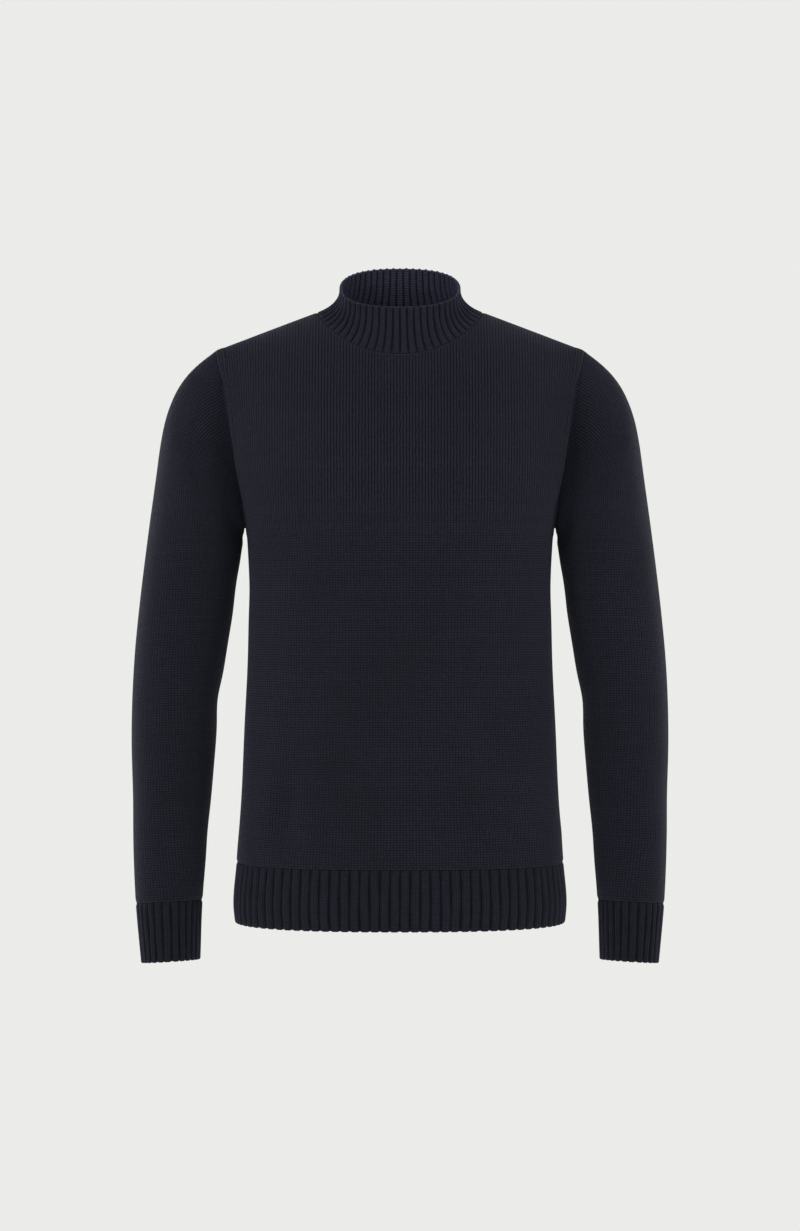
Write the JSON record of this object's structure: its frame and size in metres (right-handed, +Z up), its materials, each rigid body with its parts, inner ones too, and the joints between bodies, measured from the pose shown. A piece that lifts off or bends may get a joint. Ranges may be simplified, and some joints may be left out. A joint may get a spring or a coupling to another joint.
{
  "type": "mock neck sweater",
  "caption": "Long-sleeved knit pullover with a stand-up rib collar, rib cuffs and a rib hem, filled out as worn and hollow.",
  "frame": {"origin": "middle of the neck's base, level with the high points of the shoulders, where the wearer's neck and shoulders carry the sweater", "axes": "+Z up to the collar, the front faces -Y, +X is the wearer's left"},
  "size_m": [0.6022, 0.2369, 0.7837],
  "materials": {
    "plain_knit": "matt fine stockinette wool knit, dark navy",
    "rib_knit": "matt wool rib knit, dark navy, with dark grooves"
  },
  "bodies": {
    "root": {"front_body": "plain_knit", "back_body": "plain_knit", "front_hem_rib": "rib_knit", "back_hem_rib": "rib_knit", "sleeve_left": "plain_knit", "sleeve_right": "plain_knit", "cuff_left": "rib_knit", "cuff_right": "rib_knit", "collar_rib": "rib_knit"}
  },
  "joints": []
}
